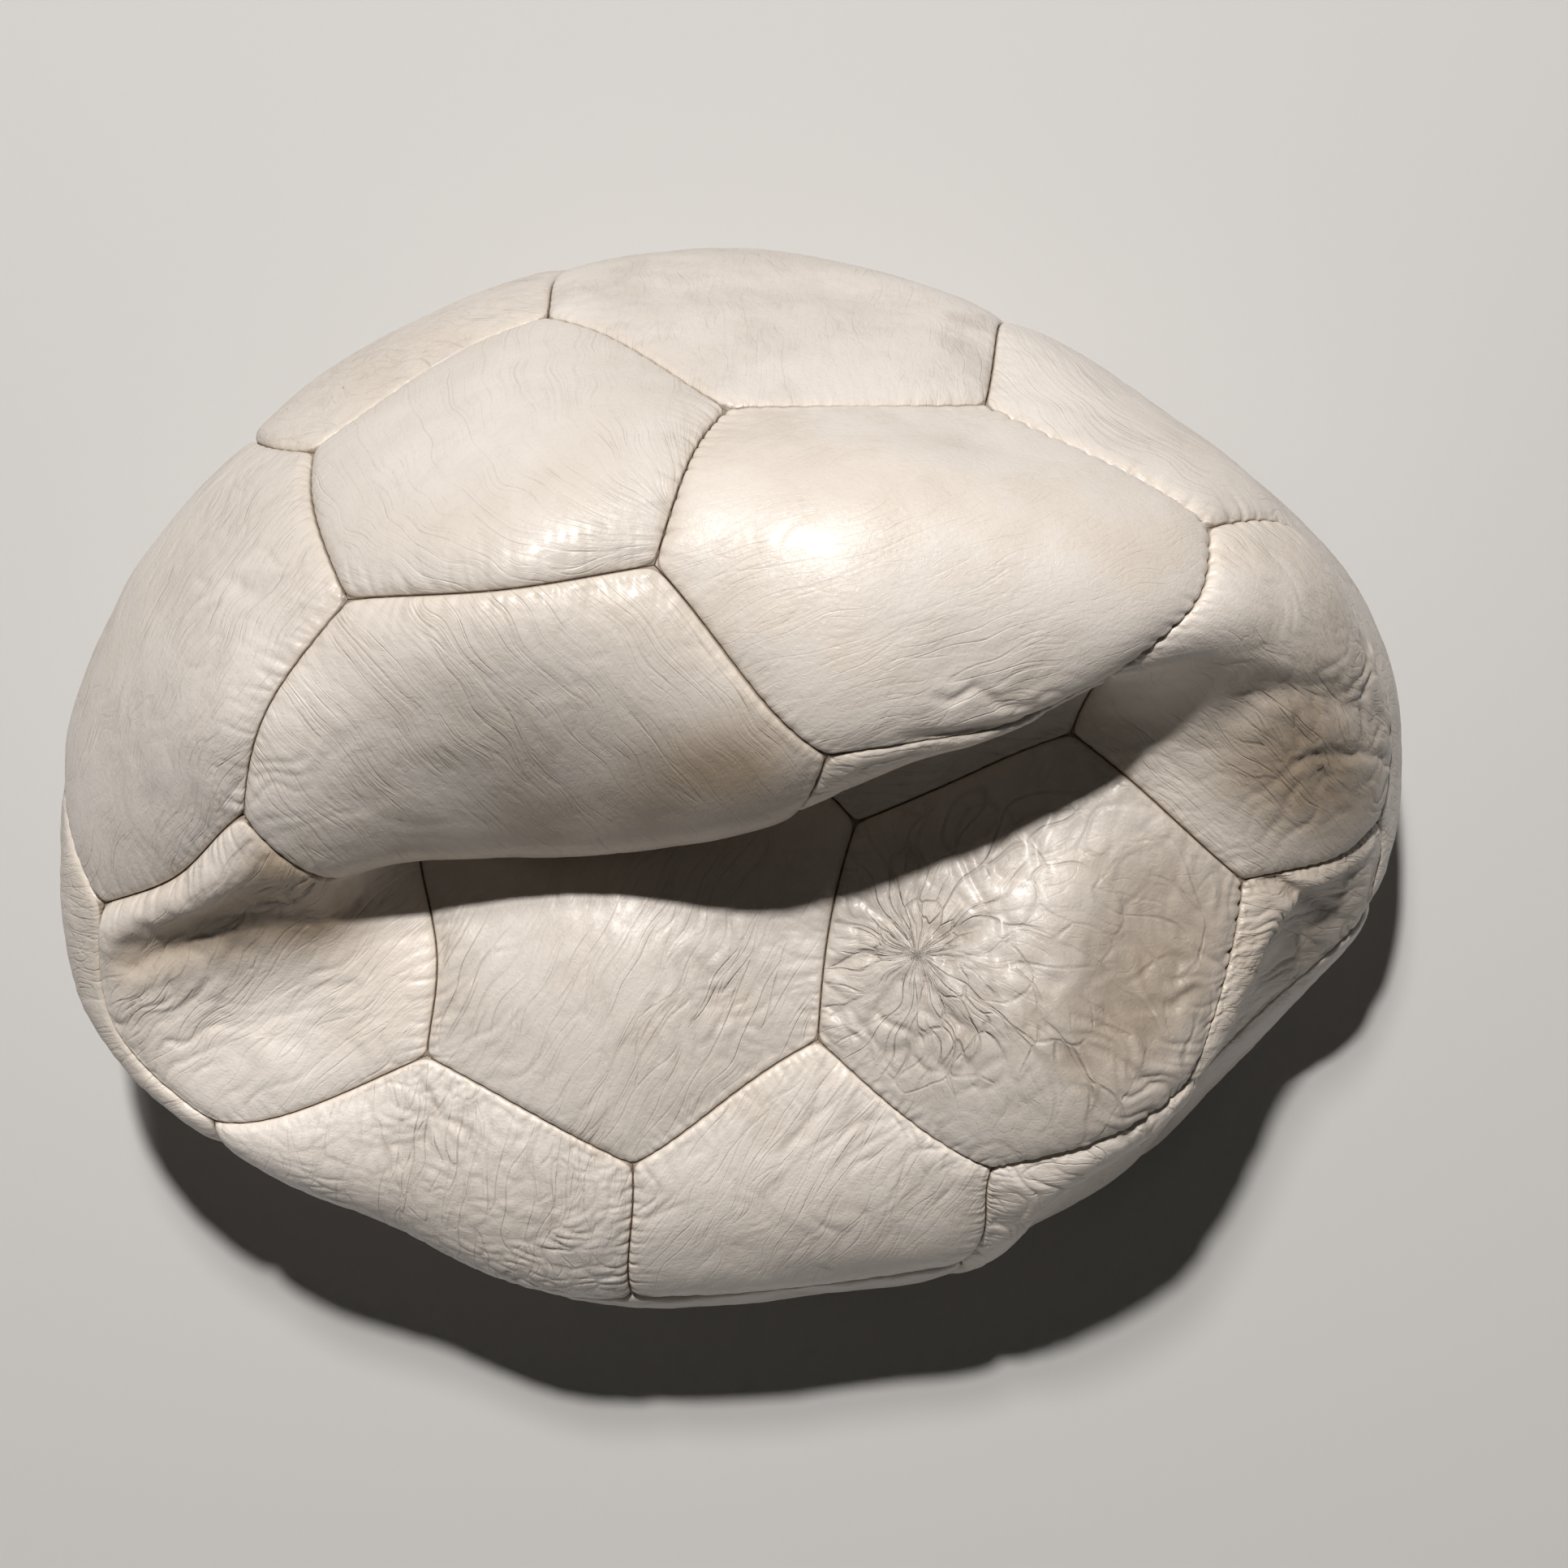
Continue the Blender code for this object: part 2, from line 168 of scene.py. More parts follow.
def underside(point):
    x, y, z = point
    rim = base["rim"] + base["rimToFront"] * x + base["rimToBack"] * y
    rise = max(1 + z / base["flatShare"], 0)
    along = base["shift"] + base["halfLength"] * x + base["lean"] * rise
    return (along, base["halfWidth"] * y, rim * rise ** 3 - base["press"])


def spread(points, others):
    return np.linalg.norm(points[:, None] - others[None], axis=2) ** 3


def crushThrough(places):
    # A smooth map of the sphere that takes each named point exactly to its place.
    named = [set(key) for key in places]
    keys = [*places, *(name for name in [*corners, *centres] if set(name) not in named)]
    points = np.array([ballPoint(key) for key in keys])
    targets = np.array([places[key] if key in places else underside(ballPoint(key)) for key in keys])
    count = len(keys)
    linear = np.column_stack([np.ones(count), points])
    system = np.block([[spread(points, points), linear], [linear.T, np.zeros((4, 4))]])
    weights = np.linalg.solve(system, np.vstack([targets, np.zeros((4, 3))]))

    def crush(directions):
        moved = []
        for part in np.array_split(directions, max(1, len(directions) // 4000)):
            flat = np.column_stack([np.ones(len(part)), part])
            moved.append(spread(part, points) @ weights[:count] + flat @ weights[count:])
        moved = np.vstack(moved)
        moved[:, 2] = np.maximum(moved[:, 2], 0)
        return moved

    return crush


crush = crushThrough(places)


def frameShift():
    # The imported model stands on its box's middle, so the crushed places move along with it.
    mesh = frame["nodes"]["hexagon_b"].data
    points = np.empty(len(mesh.vertices) * 3, np.float32)
    mesh.vertices.foreach_get("co", points)
    points = points.reshape(-1, 3) / mm
    middle = crush(centres["B"][None])[0]
    return points[np.argmin(np.linalg.norm(points - middle, axis=1))] - middle


shift = frameShift()
print("shift of the packed model, mm", np.round(shift, 3))


def outward(directions):
    side = unit(np.cross(directions, ball["askew"]))
    up = np.cross(directions, side)
    step = ball["slopeStep"]
    a, b, c, d = (crush(unit(directions + step * way)) for way in (side, -side, up, -up))
    return unit(np.cross(a - b, c - d))


# How the leather lies at the seams, in millimetres.
edges = {
    "gap": 0.06,                             # from a seam's middle to the panel's edge
    "rollRadius": 1.5, "rollDrop": 0.75,     # the edge's quarter round
    "puffReach": 4.8, "puffDrop": 0.95,      # the softer fall beside it
    "stitchSpacing": 3.7, "stitchPull": 0.18, "stitchReach": 1.3,
    "puckerSize": 2.3, "puckerReach": 4.5, "puckerDepth": 0.08,
    "cornerRound": 0.7,                      # how softly two edges meet at a corner
    "ownReach": 2.5,                         # how far a deep seam's own fall counts beside its neighbours'
    "openPull": 0.8, "openSoil": 1.5,        # of the seams whose stitches show
}
# Puckers that stand out, by panel and then by the panel across the seam.
puckers = {
    "A": {"C": 0.24, "B": 0.18, "L": 0.14},
    "B": {"A": 0.14, "C": 0.12, "M": 0.12},
    "C": {"A": 0.30, "L": 0.14, "B": 0.10},
    "D": {"A": 0.12, "E": 0.14, "B": 0.12},
    "E": {"B": 0.12, "M": 0.16, "D": 0.10},
    "F": {"L": 0.34, "G": 0.24, "I": 0.16},
    "G": {"F": 0.28, "H": 0.20, "I": 0.18, "N": 0.24},
    "H": {"N": 0.34, "G": 0.20, "Q": 0.16},
    "I": {"G": 0.22, "F": 0.16, "H": 0.12},
    "L": {"C": 0.26, "A": 0.16, "F": 0.20},
    "M": {"B": 0.18, "P": 0.20, "N": 0.14},
    "N": {"G": 0.36, "H": 0.30, "P": 0.20, "Q": 0.30},
    "P": {"N": 0.26, "M": 0.20, "Q": 0.24},
    "Q": {"N": 0.32, "H": 0.22, "P": 0.22},
    "X": {"B": 0.14, "C": 0.14},
}
# Seams whose stitches show as dark slits, and seams that lie deeper than the rest.
openSeams = ("BM", "EM", "HI", "NP", "AB", "BE")
deepSeams = {
    "NQ": 2.0, "NP": 1.8, "MP": 2.3, "AC": 2.0, "AB": 1.6, "BC": 1.4, "FL": 2.4, "CL": 2.3, "MN": 1.7,
    "AL": 1.7, "BM": 1.6, "HQ": 1.5, "FW": 1.5, "FG": 1.4, "AD": 1.4, "DE": 1.5, "EM": 1.4, "GN": 1.3,
    "FI": 1.5,
}
swell = {"size": 26.0, "height": 0.8, "fineSize": 9.0, "fineHeight": 0.20}
valveMouth = {"panel": "K", "radius": 4.0, "depth": 24, "smoothReach": 9.0, "sharpAngle": 40}

# How every wrinkle is made: the waver of its line, the width of its valley and of the pillows beside it, and
# the share of each in its depth.
wrinkleForm = {
    "waver": 1.5, "waverSize": 8.0, "curl": 2.2, "curlSize": 7.0, "patchSize": 11.0,
    "valleyWidth": 0.16, "pillowWidth": 0.5, "valleyShare": 0.45, "pillowShare": 0.55, "press": 1.1,
}
# Wrinkles by panel. "at" is a place seen from above and "reach" how far they spread from it. "turn" is the
# way the lines run, in degrees from +X, "size" the distance between them and "depth" how deep they are.
wrinkles = {
    "A": [
        dict(kind="spokes", at=(2, 40), reach=46, size=4.4, stretch=9, depth=0.10, swirl=0.018),
        dict(kind="lines", at=(-34, 52), reach=20, turn=34, size=4.2, stretch=7, depth=0.10),
    ],
    "B": [
        dict(kind="lines", at=(40, 6), reach=17, turn=10, size=4.0, stretch=6, depth=0.22),
        dict(kind="lines", at=(10, 28), reach=18, turn=60, size=5.0, stretch=6, depth=0.10),
    ],
    "C": [
        dict(kind="lines", at=(-28, 18), reach=40, turn=-66, size=4.2, stretch=12, depth=0.10),
        dict(kind="lines", at=(-30, 8), reach=34, turn=-38, size=4.6, stretch=12, depth=0.10),
        dict(kind="lines", at=(-64, 12), reach=16, turn=20, size=3.6, stretch=6, depth=0.18),
    ],
    "D": [dict(kind="lines", at=(20, 74), reach=44, turn=80, size=3.6, stretch=6, depth=0.08)],
    "E": [
        dict(kind="rings", at=(104, 76), reach=50, size=3.8, stretch=8, depth=0.18),
        dict(kind="lines", at=(62, 56), reach=16, turn=-42, size=3.8, stretch=6, depth=0.08),
    ],
    "L": [
        dict(kind="lines", at=(-84, 46), reach=40, turn=48, size=4.2, stretch=9, depth=0.16),
        dict(kind="rings", at=(-64, 4), reach=34, size=4.2, stretch=7, depth=0.24),
        dict(kind="lines", at=(-72, 42), reach=16, turn=8, size=4.0, stretch=5, depth=0.24),
    ],
    "M": [
        dict(kind="spokes", at=(93, -11), reach=15, size=3.2, stretch=5, depth=0.46),
        dict(kind="lines", at=(106, -8), reach=17, turn=-18, size=3.4, stretch=6, depth=0.60),
        dict(kind="lines", at=(96, 14), reach=20, turn=-62, size=4.0, stretch=8, depth=0.18),
        dict(kind="lines", at=(74, -10), reach=20, turn=-14, size=3.8, stretch=7, depth=0.18),
    ],
    "N": [
        dict(kind="spokes", at=(25, -32), reach=19, size=5.4, stretch=4, depth=0.55),
        dict(kind="cells", at=(30, -38), reach=24, size=4.4, stretch=1.5, turn=70, depth=0.60),
        dict(kind="lines", at=(58, -52), reach=20, turn=-46, size=3.6, stretch=9, depth=0.62),
        dict(kind="rings", at=(88, -34), reach=32, size=3.8, stretch=8, depth=0.40),
        dict(kind="lines", at=(40, -20), reach=24, turn=82, size=4.6, stretch=8, depth=0.40),
    ],
    "G": [
        dict(kind="cells", at=(-5, -34), reach=15, size=4.2, stretch=1.4, turn=40, depth=0.40),
        dict(kind="lines", at=(-52, -24), reach=15, turn=38, size=3.6, stretch=6, depth=0.45),
        dict(kind="lines", at=(-30, -38), reach=26, turn=52, size=4.6, stretch=6, depth=0.26),
        dict(kind="lines", at=(-12, -14), reach=26, turn=76, size=4.2, stretch=7, depth=0.26),
    ],
    "F": [
        dict(kind="lines", at=(-101, -21), reach=12, turn=34, size=3.2, stretch=7, depth=0.62),
        dict(kind="lines", at=(-84, -10), reach=20, turn=12, size=3.2, stretch=11, depth=0.28),
        dict(kind="lines", at=(-74, -2), reach=13, turn=84, size=3.0, stretch=5, depth=0.36),
        dict(kind="lines", at=(-78, -30), reach=22, turn=58, size=5.2, stretch=5, depth=0.24),
    ],
    "I": [
        dict(kind="lines", at=(-59, -46), reach=14, turn=76, size=3.2, stretch=8, depth=0.40),
        dict(kind="cells", at=(-56, -60), reach=40, size=3.0, stretch=1.9, turn=-16, depth=0.30),
        dict(kind="lines", at=(-38, -60), reach=18, turn=66, size=3.4, stretch=7, depth=0.30),
    ],
    "H": [
        dict(kind="lines", at=(16, -58), reach=15, turn=46, size=3.4, stretch=7, depth=0.42),
        dict(kind="lines", at=(6, -60), reach=30, turn=84, size=4.6, stretch=7, depth=0.26),
        dict(kind="lines", at=(-22, -66), reach=20, turn=56, size=4.4, stretch=5, depth=0.26),
    ],
    "P": [
        dict(kind="lines", at=(92, -38), reach=30, turn=-34, size=3.8, stretch=7, depth=0.46),
        dict(kind="lines", at=(84, -50), reach=24, turn=40, size=4.0, stretch=5, depth=0.20),
    ],
    "Q": [
        dict(kind="lines", at=(46, -74), reach=30, turn=-62, size=4.0, stretch=5, depth=0.34),
    ],
    "X": [dict(kind="lines", at=(30, 2), reach=40, turn=4, size=3.6, stretch=7, depth=0.22)],
}
plainWrinkles = [
    dict(kind="cells", size=5.2, stretch=1.8, turn=30, depth=0.14),
    dict(kind="lines", turn=20, size=4.4, stretch=6, depth=0.18),
]

# Single creases and soft folds: panel, line of places seen from above, depth, width and how soiled it is. A
# negative depth makes a ridge.
creases = [
    ("F", [(-112, -10), (-100, -6), (-89, -4), (-84, -1), (-77, 3)], -1.7, 3.4, 0),
    ("F", [(-110, -13), (-103, -11), (-95, -11), (-87, -10), (-79, -9), (-69, -9)], 2.8, 4.2, 0.1),
    ("F", [(-108, -14), (-101, -13), (-94, -13), (-86, -12)], 0.8, 1.2, 0.7),
    ("F", [(-94, -30), (-84, -32), (-74, -33)], -1.4, 6.0, 0),
    ("M", [(76, -2), (87, 0), (98, -2), (110, -8)], 1.5, 3.2, 0.55),
    ("M", [(112, -14), (104, -12), (97, -11), (93, -11), (88, -13)], 0.7, 0.9, 0.7),
    ("M", [(93, -11), (91, -6), (92, -2)], 0.5, 0.8, 0.6),
    ("M", [(93, -11), (96, -16), (97, -20)], 0.5, 0.8, 0.6),
    ("P", [(82, -29), (90, -33), (96, -37), (101, -43)], 1.1, 1.5, 0.7),
    ("N", [(72, -22), (64, -30), (59, -39), (56, -48), (58, -60)], 2.6, 9.0, 0.0),
    ("N", [(47, -49), (55, -55), (63, -62)], 0.6, 1.0, 0.3),
    ("N", [(45, -48), (49, -57), (51, -66)], 0.6, 1.0, 0.3),
    ("N", [(24, -32), (17, -31), (8, -33)], 0.8, 1.1, 0.25),
    ("N", [(24, -33), (19, -38), (13, -44)], 0.8, 1.1, 0.25),
    ("N", [(25, -34), (27, -41), (32, -48)], 0.8, 1.2, 0.25),
    ("N", [(27, -31), (31, -28), (34, -22)], 0.6, 1.1, 0.25),
    ("G", [(-14, -29), (-6, -34), (2, -38)], 1.0, 5.0, 0.1),
    ("B", [(31, 9), (35, 7), (39, 8), (43, 5), (49, 4)], 0.5, 0.8, 0.25),
    ("B", [(26, 2), (38, 0), (50, 1), (62, 4)], 0.9, 1.6, 0.15),
    ("D", [(-14, 84), (6, 82), (28, 80), (46, 73)], 0.9, 3.2, 0.05),
    ("L", [(-62, 44), (-68, 43), (-76, 46)], 0.8, 1.6, 0.1),
    ("I", [(-60, -38), (-59, -45), (-62, -52)], 0.6, 0.9, 0.4),
    ("I", [(-59, -45), (-54, -50), (-53, -57)], 0.5, 0.9, 0.4),
    ("H", [(8, -46), (4, -56), (-4, -64)], 0.5, 1.2, 0.1),
]

# Hairlines and cracks too fine for the mesh run along one of these on each panel. "hair" and "crack" say how
# strong they are.
hairlines = {
    "A": dict(kind="spokes", at=(2, 40), reach=46, size=1.0, stretch=16, swirl=0.018, hair=0.8, crack=0.3),
    "B": dict(kind="lines", turn=10, size=1.0, stretch=8, hair=0.4, crack=0.5),
    "C": dict(kind="lines", turn=-60, size=1.0, stretch=20, hair=0.9, crack=0.4),
    "D": dict(kind="lines", turn=80, size=1.0, stretch=10, hair=0.6, crack=0.3),
    "E": dict(kind="rings", at=(104, 76), reach=50, size=1.0, stretch=12, hair=0.8, crack=0.3),
    "L": dict(kind="lines", turn=48, size=1.0, stretch=14, hair=0.9, crack=0.45),
    "M": dict(kind="lines", turn=-50, size=1.0, stretch=12, hair=0.8, crack=0.4),
    "N": dict(kind="spokes", at=(25, -32), reach=24, size=1.0, stretch=6, swirl=0.010, hair=0.7, crack=0.85),
    "G": dict(kind="lines", turn=52, size=1.0, stretch=12, hair=0.35, crack=0.5),
    "F": dict(kind="lines", turn=34, size=1.0, stretch=12, hair=0.5, crack=0.45),
    "I": dict(kind="lines", turn=72, size=1.0, stretch=9, hair=0.5, crack=0.5),
    "H": dict(kind="lines", turn=48, size=1.0, stretch=12, hair=0.35, crack=0.4),
}
plainHairlines = dict(kind="lines", turn=-14, size=1.0, stretch=9, hair=0.8, crack=0.5)

# How each panel's leather has aged, and the light painted on it: lightness, warmth and how soiled it is. The
# lightness is mostly painted light and shade: pentagon_f, hexagon_i, pentagon_h, hexagon_q and hexagon_m are
# painted lighter as they turn further from the lamp than the real panels, hexagon_n darker. The warmth is the
# leather's yellowing, raised on hexagon_m and pentagon_p partly as painted warm bounce light in their shade.
tonesAndPaintedLight = {
    "A": (-0.03, 0.1, 0.10), "B": (0.0, 0.5, 0.12), "C": (0.0, 0.4, 0.20), "D": (-0.02, 0.0, 0.30),
    "E": (0.03, 0.0, 0.15), "L": (-0.04, 0.1, 0.15), "M": (0.08, 0.6, 0.25), "N": (-0.07, 0.4, 0.20),
    "G": (-0.02, 0.3, 0.12), "F": (0.20, 0.2, 0.10), "I": (0.17, 0.1, 0.10), "H": (0.17, 0.3, 0.10),
    "P": (0.0, 0.6, 0.3), "Q": (0.16, 0.4, 0.15), "X": (-0.02, 0.5, 0.3),
}
plainTone = (0.0, 0.4, 0.25)

# Soiled spots: place seen from above, reach and strength.
smudges = [
    ("D", (52, 69), 9, 0.9), ("D", (-10, 86), 12, 0.5), ("B", (18, 54), 8, 0.35), ("B", (50, 46), 7, 0.25),
    ("M", (98, 1), 13, 1.0), ("M", (94, -11), 8, 0.7), ("L", (-78, 14), 12, 0.5),
    ("E", (76, 46), 9, 0.3), ("P", (92, -36), 16, 0.5),
]
# Painted shade: soft brown darkening laid into the colour in the folds and on the faces turned from the
# light.
paintedShades = [
    ("N", (66, -38), 17, 0.9), ("N", (54, -50), 11, 0.5),
    ("M", (88, -13), 12, 0.9), ("M", (101, -18), 12, 0.9), ("M", (98, 4), 10, 0.3),
    ("C", (-52, -3), 9, 0.5), ("C", (-32, -2), 9, 0.8), ("C", (-14, -1), 9, 0.9), ("C", (4, 0), 9, 0.9),
    ("C", (-4, 5), 8, 0.5), ("F", (-105, -12), 5, 0.7), ("F", (-96, -11), 6, 0.9), ("F", (-87, -10), 6, 1.0),
    ("F", (-78, -8), 7, 1.1), ("F", (-70, -8), 7, 1.0), ("F", (-72, 0), 7, 0.8), ("P", (90, -40), 20, 0.6),
    ("G", (-6, -36), 9, 0.15),
]


def meshFrom(shape, name):
    mesh = bpy.data.meshes.new(name)
    shape.to_mesh(mesh)
    shape.free()
    return mesh


def flatPattern(shape, tips, depth, steps):
    # Kites round the middle, cut into an even grid.
    middle = sum(tips) / len(tips)
    drop = unit(middle) * depth
    hub = shape.verts.new(middle - drop)
    ends = [shape.verts.new(tip - drop) for tip in tips]
    halves = [shape.verts.new((tips[index - 1] + tips[index]) / 2 - drop) for index in range(len(tips))]
    kites = [
        shape.faces.new((hub, halves[index], ends[index], halves[(index + 1) % len(tips)]))
        for index in range(len(tips))
    ]
    sides = list(dict.fromkeys(edge for kite in kites for edge in kite.edges))
    bmesh.ops.subdivide_edges(shape, edges=sides, cuts=steps - 1, use_grid_fill=True)


def cutPanel(key, steps, share):
    # A closed flat panel: a fine face, a wall along its edge and a coarser back.
    names = cornersOf(key)
    tips = [corners[name] * ball["radius"] for name in names]
    middle = sum(tips) / len(tips)
    apothem = np.linalg.norm((tips[0] + tips[1]) / 2 - middle)
    tips = [middle + (tip - middle) * (1 - edges["gap"] / apothem) for tip in tips]
    shape = bmesh.new()
    flatPattern(shape, tips, 0, steps)
    border = [edge for edge in shape.edges if edge.is_boundary]
    wall = bmesh.ops.extrude_edge_only(shape, edges=border)["geom"]
    wallPoints = [item for item in wall if isinstance(item, bmesh.types.BMVert)]
    bmesh.ops.translate(shape, verts=wallPoints, vec=Vector(unit(middle) * -ball["thickness"]))
    back = bmesh.new()
    flatPattern(back, tips, ball["thickness"], steps // share)
    border = [edge for edge in back.edges if edge.is_boundary]
    bmesh.ops.subdivide_edges(back, edges=border, cuts=share - 1)
    bmesh.ops.reverse_faces(back, faces=back.faces)
    lining = meshFrom(back, "lining")
    shape.from_mesh(lining)
    bpy.data.meshes.remove(lining)
    rim = [point for point in shape.verts if any(edge.is_boundary for edge in point.link_edges)]
    bmesh.ops.remove_doubles(shape, verts=rim, dist=0.01)
    bmesh.ops.recalc_face_normals(shape, faces=shape.faces)
    return shape, names, tips


def sample(points):
    return np.array([noise.noise(point) for point in points.tolist()])


def cellEdges(points):
    # How far each point is from the nearest border of its cell, from 0 on the border.
    nearest = (noise.voronoi(point)[0] for point in points.tolist())
    return np.array([second - first for first, second, *others in nearest])


def flowOf(field, where, seed):
    # Places measured across and along a field's lines in millimetres, the long way shortened by its stretch.
    at = field.get("at") or tuple(where[:, :2].mean(axis=0))
    offset = where[:, :2] - np.array(at)
    far = np.linalg.norm(offset, axis=1)
    stretch = field.get("stretch", 1)
    wobble = wrinkleForm["waver"] * field["size"] * sample(where / wrinkleForm["waverSize"] + seed)
    if field["kind"] in ("lines", "cells"):
        turn = math.radians(field.get("turn", 0))
        along = offset @ (math.cos(turn), math.sin(turn))
        across = offset @ (-math.sin(turn), math.cos(turn)) + wobble
        return np.column_stack([across, where[:, 2] / max(1, stretch * 0.5), along / stretch]), far
    angle = np.arctan2(offset[:, 1], offset[:, 0]) + field.get("swirl", 0) * far
    angle += wrinkleForm["curl"] * sample(where / wrinkleForm["curlSize"] - seed) / np.maximum(far, 8)
    radius, out = field["reach"] * 0.45, far + wobble
    if field["kind"] == "spokes":
        out = out / stretch
    else:
        radius = radius / stretch
    return np.column_stack([radius * np.cos(angle), radius * np.sin(angle), out]), far


def valleys(field, where, seed):
    # Thin valleys with soft pillows between them, fading out at the field's reach.
    flow, far = flowOf(field, where, seed)
    spot = flow / field["size"] + seed * 3.7
    near = np.exp(-(far / field["reach"]) ** 4) if "at" in field else np.ones(len(where))
    if field["kind"] == "spokes":
        near *= np.clip(far / 2.5, 0, 1)
    busy = near > 0.01
    value = np.ones(len(where))
    if field["kind"] == "cells":
        value[busy] = cellEdges(spot[busy]) * 0.8
    else:
        value[busy] = np.abs(sample(spot[busy]))
    lines = np.exp(-(value / wrinkleForm["valleyWidth"]) ** 2)
    pillows = 1 - np.minimum(value / wrinkleForm["pillowWidth"], 1) ** 0.7
    patchy = np.clip(0.8 + 0.9 * sample(where / wrinkleForm["patchSize"] - seed), 0.15, 1.3)
    return (wrinkleForm["valleyShare"] * lines + wrinkleForm["pillowShare"] * pillows) * patchy * near, near


def distanceToPath(points, path):
    # Distance from a wavy path seen from above, and how far along it from its nearer end.
    path = np.array(path, float)
    flat = points[:, :2] + 0.8 * np.column_stack([sample(points / 4.0), sample(points / 4.0 + 9.0)])
    lengths = np.linalg.norm(np.diff(path, axis=0), axis=1)
    best, place = np.full(len(flat), 1e9), np.zeros(len(flat))
    for index, length in enumerate(lengths):
        way = (path[index + 1] - path[index]) / length
        along = np.clip((flat - path[index]) @ way, 0, length)
        far = np.linalg.norm(flat - path[index] - along[:, None] * way, axis=1)
        nearer = far < best
        best, place = np.where(nearer, far, best), np.where(nearer, lengths[:index].sum() + along, place)
    return best, np.minimum(place, lengths.sum() - place)


def seamKey(first, second):
    return "".join(sorted(first + second))


def pressSeams(key, names, flat, tips, seed):
    # What the seams do to a panel's face: its height, how soiled it is and how far it lies from a seam.
    middle = sum(tips) / len(tips)
    height, soil, soft, sides, puffs = np.zeros((5, len(flat)))
    for index, tip in enumerate(tips):
        last = tips[index - 1]
        depth = (flat - tip) @ unit(middle - (last + tip) / 2)
        along = (flat - last) @ unit(tip - last)
        across = (set(names[index - 1]) & set(names[index]) - {key}).pop()
        soft += np.exp(-depth / edges["cornerRound"])
        sides += np.exp(-depth / edges["ownReach"])
        puffs += np.exp(-depth / edges["ownReach"]) * deepSeams.get(seamKey(key, across), 1.0)
        pull = (0.5 - 0.5 * np.cos(2 * math.pi * along / edges["stitchSpacing"])) ** 3
        pulled = edges["stitchPull"]
        if seamKey(key, across) in openSeams:
            spots = np.column_stack([along / 5.0, 0 * along, 0 * along + seed])
            uneven = np.clip(0.5 + 1.4 * sample(spots), 0, 1.2)
            pulled = pulled + edges["openPull"] * uneven
            soil += edges["openSoil"] * uneven * pull ** 2 * np.exp(-(depth / 0.9) ** 2)
        height -= pulled * pull * np.exp(-depth / edges["stitchReach"])
        amount = puckers.get(key, {}).get(across, edges["puckerDepth"])
        line = [along / edges["puckerSize"], depth / 9.0 + index * 5, np.full(len(flat), seed)]
        line = np.column_stack(line)
        near = np.exp(-depth / edges["puckerReach"])
        busy = near > 0.02
        fold = np.zeros(len(flat))
        fold[busy] = np.exp(-(sample(line[busy]) / 0.2) ** 2) - 0.3
        height -= 1.3 * amount * fold * near * np.clip(depth / 0.8, 0, 1)
    distance = np.maximum(-edges["cornerRound"] * np.log(np.maximum(soft, 1e-12)), 0)
    turn = np.clip(1 - distance / edges["rollRadius"], 0, 1)
    height -= edges["rollDrop"] * (1 - np.sqrt(1 - turn ** 2))
    height -= edges["puffDrop"] * puffs / sides * np.exp(-distance / edges["puffReach"])
    return height, soil, distance


def shapeFace(key, names, flat, tips, where):
    # The face's height over the crushed surface, how soiled it is, how near a seam and how cracked.
    seed = 1.0 + 2.3 * sorted(centres).index(key)
    height, soil, distance = pressSeams(key, names, flat, tips, seed)
    crackle = np.zeros(len(flat))
    inner = np.clip(distance / 2.0, 0, 1)
    height += swell["height"] * sample(where / swell["size"] + seed) * inner
    height += swell["fineHeight"] * sample(where / swell["fineSize"] + seed) * inner
    for number, field in enumerate(wrinkles.get(key, plainWrinkles)):
        lines, near = valleys(field, where, seed + 0.71 * number)
        height -= wrinkleForm["press"] * field["depth"] * lines * inner
        soil += lines ** 2 * inner * min(field["depth"] * 0.9, 0.5)
        crackle = np.maximum(crackle, near * min(field["depth"] * 2.4, 1.0) * np.clip(distance / 1.5, 0, 1))
    for panel, path, depth, width, dirt in creases:
        if panel == key:
            far, ends = distanceToPath(where, path)
            fade = 1 - np.exp(-((ends + 0.5) / (2 + width)) ** 2)
            lines = np.exp(-(far / width) ** 2) * fade * np.clip(distance / 1.2, 0, 1)
            height -= depth * lines
            soil += lines * dirt
    if key == valveMouth["panel"]:
        # Round the valve's mouth the leather lies smooth.
        out = np.linalg.norm(flat - sum(tips) / len(tips), axis=1)
        smooth = 1 - np.exp(-(out / valveMouth["smoothReach"]) ** 4)
        height, soil, crackle = height * smooth, soil * smooth, crackle * smooth
    return height, soil, distance, crackle


def crowdToSeams(flat, tips):
    # The grid is drawn towards the seams, where the leather turns down most.
    middle = sum(tips) / len(tips)
    inwards = [unit(middle - (tips[index - 1] + tip) / 2) for index, tip in enumerate(tips)]
    apothem = (middle - tips[0]) @ inwards[0]
    gauge = np.clip(np.max([(middle - flat) @ inward / apothem for inward in inwards], axis=0), 1e-6, 1)
    crowded = 1 - (1 - gauge) ** ball["crowding"]
    return middle + (flat - middle) * (crowded / gauge)[:, None]


def spotted(key, where, spots):
    total = np.zeros(len(where))
    for panel, at, reach, amount in spots:
        if panel == key:
            total += amount * np.exp(-(np.linalg.norm(where[:, :2] - at, axis=1) / reach) ** 2)
    return total


